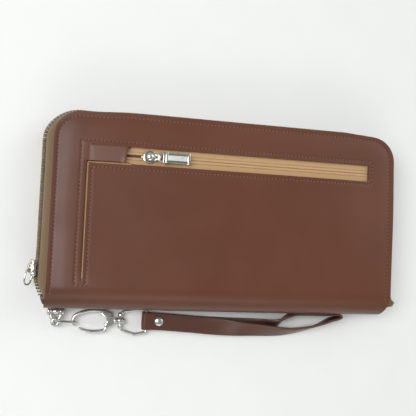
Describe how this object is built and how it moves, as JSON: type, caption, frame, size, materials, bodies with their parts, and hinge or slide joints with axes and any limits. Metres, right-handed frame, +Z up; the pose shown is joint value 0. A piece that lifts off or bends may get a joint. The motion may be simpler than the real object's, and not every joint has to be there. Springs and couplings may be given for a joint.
{
  "type": "zippered pouch",
  "caption": "Long zip-round leather wallet with a zipped front pocket, card slots, a coin pocket and a wrist strap on a snap hook.",
  "frame": {"origin": "middle of the flat back face, where the wallet lies on a table", "axes": "+X along the wallet from the zip slider end, +Y from the spine to the long zipped side, +Z up through the front cover"},
  "size_m": [0.2195, 0.1257, 0.0279],
  "materials": {
    "outer_leather": "smooth semi-gloss",
    "dark_leather": "smooth",
    "strap_leather": "smooth semi-gloss",
    "board": "matte",
    "lining_fabric": "woven",
    "inner_leather": "smooth",
    "tan_tape": "woven",
    "tan_coil": "satin",
    "olive_tape": "woven",
    "brass_coil": "satin",
    "polished_metal": "polished",
    "nickel_metal": "polished"
  },
  "bodies": {
    "back": {"back_cover_leather": "outer_leather", "spine_leather": "outer_leather", "back_stiffener": "board", "back_lining": "lining_fabric", "back_card_slot_1": "inner_leather", "back_card_slot_2": "inner_leather", "back_card_slot_3": "inner_leather", "back_card_slot_4": "inner_leather", "gusset_left": "lining_fabric", "gusset_right": "lining_fabric", "main_zip_tape_back": "olive_tape", "main_zip_coil_back": "brass_coil", "zip_end_tab": "olive_tape", "anchor_tab": "dark_leather", "anchor_pin": "nickel_metal"},
    "front": {"front_cover_leather": "outer_leather", "front_stiffener": "board", "front_lining": "lining_fabric", "front_card_slot_1": "inner_leather", "front_card_slot_2": "inner_leather", "front_card_slot_3": "inner_leather", "front_card_slot_4": "inner_leather", "main_zip_tape_front": "olive_tape", "main_zip_coil_front": "brass_coil", "pocket_zip_tape_upper": "tan_tape", "pocket_zip_tape_lower": "tan_tape", "pocket_zip_coil_upper": "tan_coil", "pocket_zip_coil_lower": "tan_coil", "pocket_end_tab": "outer_leather", "pocket_bag_outer": "lining_fabric", "pocket_bag_inner": "lining_fabric"},
    "centre": {"coin_panel_back": "inner_leather", "coin_panel_front": "inner_leather", "coin_pocket_binding": "inner_leather", "coin_zip_tape_back": "olive_tape", "coin_zip_tape_front": "olive_tape", "coin_zip_coil_back": "brass_coil", "coin_zip_coil_front": "brass_coil"},
    "main_slider": {"main_slider_body": "polished_metal", "main_slider_crown": "polished_metal"},
    "main_pull": {"main_pull_loop": "polished_metal"},
    "pocket_slider": {"pocket_slider_body": "polished_metal", "pocket_slider_dome": "polished_metal"},
    "pocket_pull": {"pocket_pull_stirrup": "polished_metal", "pocket_pull_bar": "polished_metal"},
    "coin_slider": {"coin_slider_body": "polished_metal"},
    "coin_pull": {"coin_pull": "polished_metal"},
    "shackle": {"anchor_shackle": "nickel_metal"},
    "link": {"connecting_link": "nickel_metal"},
    "clasp": {"clasp_body": "nickel_metal", "gate_pin": "nickel_metal", "swivel_stud": "nickel_metal"},
    "gate": {"clasp_gate": "nickel_metal"},
    "ring": {"d_ring": "nickel_metal"},
    "strap": {"wrist_strap": "strap_leather", "strap_rivet_cap": "nickel_metal", "strap_rivet_post": "nickel_metal", "strap_rivet_back": "nickel_metal"}
  },
  "joints": [
    {"name": "cover_hinge", "type": "hinge", "parent": "back", "child": "front", "pos_m": [0, -0.041, 0.025], "axis": [1, 0, 0], "range_deg": [0, 70]},
    {"name": "centre_hinge", "type": "hinge", "parent": "back", "child": "centre", "pos_m": [0, -0.0435, 0.0125], "axis": [1, 0, 0], "range_deg": [0, 35]},
    {"name": "main_slider_slide", "type": "slide", "parent": "back", "child": "main_slider", "axis": [0, 1, 0], "range_m": [0, 0.062]},
    {"name": "main_pull_swing", "type": "hinge", "parent": "main_slider", "child": "main_pull", "pos_m": [-0.1082, -0.0334, 0.0125], "axis": [0.3689, -0.0651, -0.9272], "range_deg": [0, 110]},
    {"name": "pocket_slider_slide", "type": "slide", "parent": "front", "child": "pocket_slider", "axis": [1, 0, 0], "range_m": [-0.005, 0.12]},
    {"name": "pocket_pull_flip", "type": "hinge", "parent": "pocket_slider", "child": "pocket_pull", "pos_m": [-0.043, 0.0304, 0.02635], "axis": [0, -1, 0], "range_deg": [0, 140]},
    {"name": "coin_slider_slide", "type": "slide", "parent": "centre", "child": "coin_slider", "axis": [1, 0, 0], "range_m": [-0.005, 0.13]},
    {"name": "coin_pull_swing", "type": "hinge", "parent": "coin_slider", "child": "coin_pull", "pos_m": [-0.066, 0.0445, 0.0113], "axis": [0, 0, 1], "range_deg": [0, 30]},
    {"name": "shackle_swing", "type": "hinge", "parent": "back", "child": "shackle", "pos_m": [-0.093, -0.0562, 0.004], "axis": [-1, 0, 0], "range_deg": [0, 4]},
    {"name": "link_swing", "type": "hinge", "parent": "shackle", "child": "link", "pos_m": [-0.0922, -0.062, 0.004], "axis": [0, 0, -1], "range_deg": [0, 75]},
    {"name": "clasp_lift", "type": "hinge", "parent": "link", "child": "clasp", "pos_m": [-0.0834, -0.0612, 0.0034], "axis": [0, -1, 0], "range_deg": [0, 60]},
    {"name": "gate_open", "type": "hinge", "parent": "clasp", "child": "gate", "pos_m": [-0.0647, -0.0634, 0.0034], "axis": [0, 0, -1], "range_deg": [0, 22], "stiffness_Nm_per_rad": 0.02, "springref_deg": -20.05},
    {"name": "ring_swivel", "type": "hinge", "parent": "clasp", "child": "ring", "pos_m": [-0.0571, -0.0608, 0.0034], "axis": [1, 0, 0], "range_deg": [0, 90]},
    {"name": "strap_lift", "type": "hinge", "parent": "ring", "child": "strap", "pos_m": [-0.0424, -0.0608, 0.0034], "axis": [0, -1, 0], "range_deg": [0, 80]}
  ],
  "couplings": [
    {"joint": "centre_hinge", "follows": "cover_hinge", "ratio": 0.5}
  ]
}
